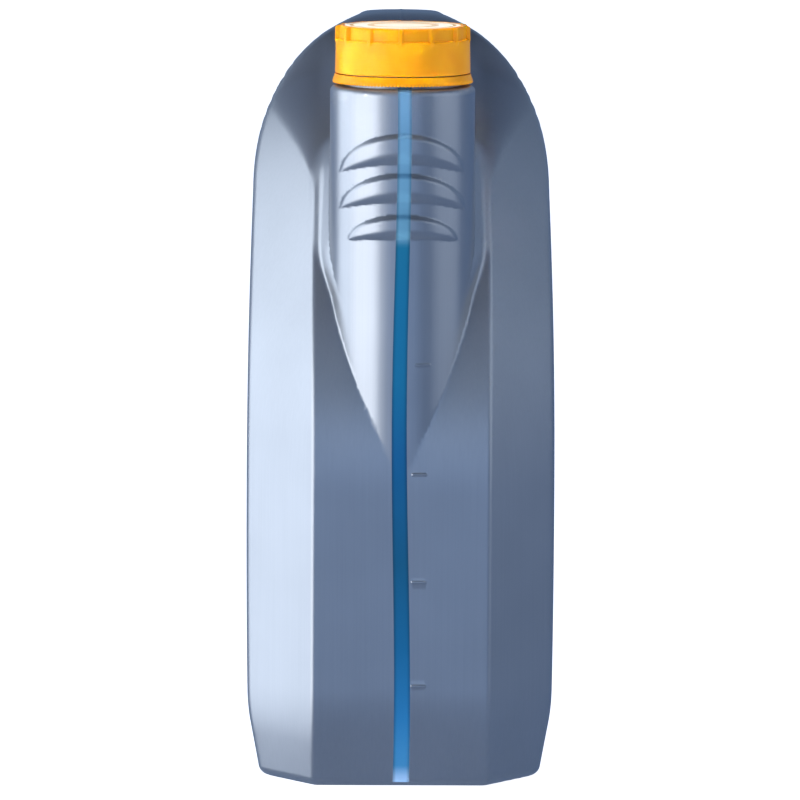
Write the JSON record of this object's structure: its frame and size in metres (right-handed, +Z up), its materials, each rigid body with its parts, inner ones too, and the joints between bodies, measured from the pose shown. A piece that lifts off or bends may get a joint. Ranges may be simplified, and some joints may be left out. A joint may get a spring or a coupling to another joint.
{
  "type": "motor oil bottle",
  "caption": "Tall blown plastic jug for motor oil with a clear level stripe, a hollow rear grip, a front pouring column and a ribbed screw cap over a tamper ring.",
  "frame": {"origin": "centre of the jug's box at the surface that it stands on", "axes": "+Z up, -Y towards the pouring side with the level stripe, +X to the right seen from that side"},
  "size_m": [0.13, 0.19, 0.318],
  "materials": {
    "jug_plastic": "pearlescent blue-grey polyethylene, satin",
    "oil": "clear liquid, tinted",
    "cap_plastic": "amber-yellow polypropylene, semi-gloss",
    "liner_foam": "white closed-cell foam",
    "cap_film": "printed film, satin",
    "side_film": "printed film, satin"
  },
  "bodies": {
    "jug": {"bottle": "jug_plastic", "oil": "oil", "tamper_band": "cap_plastic", "side_label_left": "side_film", "side_label_right": "side_film"},
    "liner": {"cap_liner": "liner_foam"},
    "closure": {"cap": "cap_plastic", "cap_label": "cap_film"}
  },
  "joints": [
    {"name": "cap_lift", "type": "slide", "parent": "jug", "child": "liner", "axis": [0, 0, 1], "range_m": [0, 0.03]},
    {"name": "cap_turn", "type": "hinge", "parent": "liner", "child": "closure", "pos_m": [0, -0.06255, 0.306], "axis": [0, 0, 1], "range_deg": [0, 900]}
  ],
  "couplings": [
    {"joint": "cap_lift", "follows": "cap_turn", "m_per_rad": 0.0019099}
  ]
}
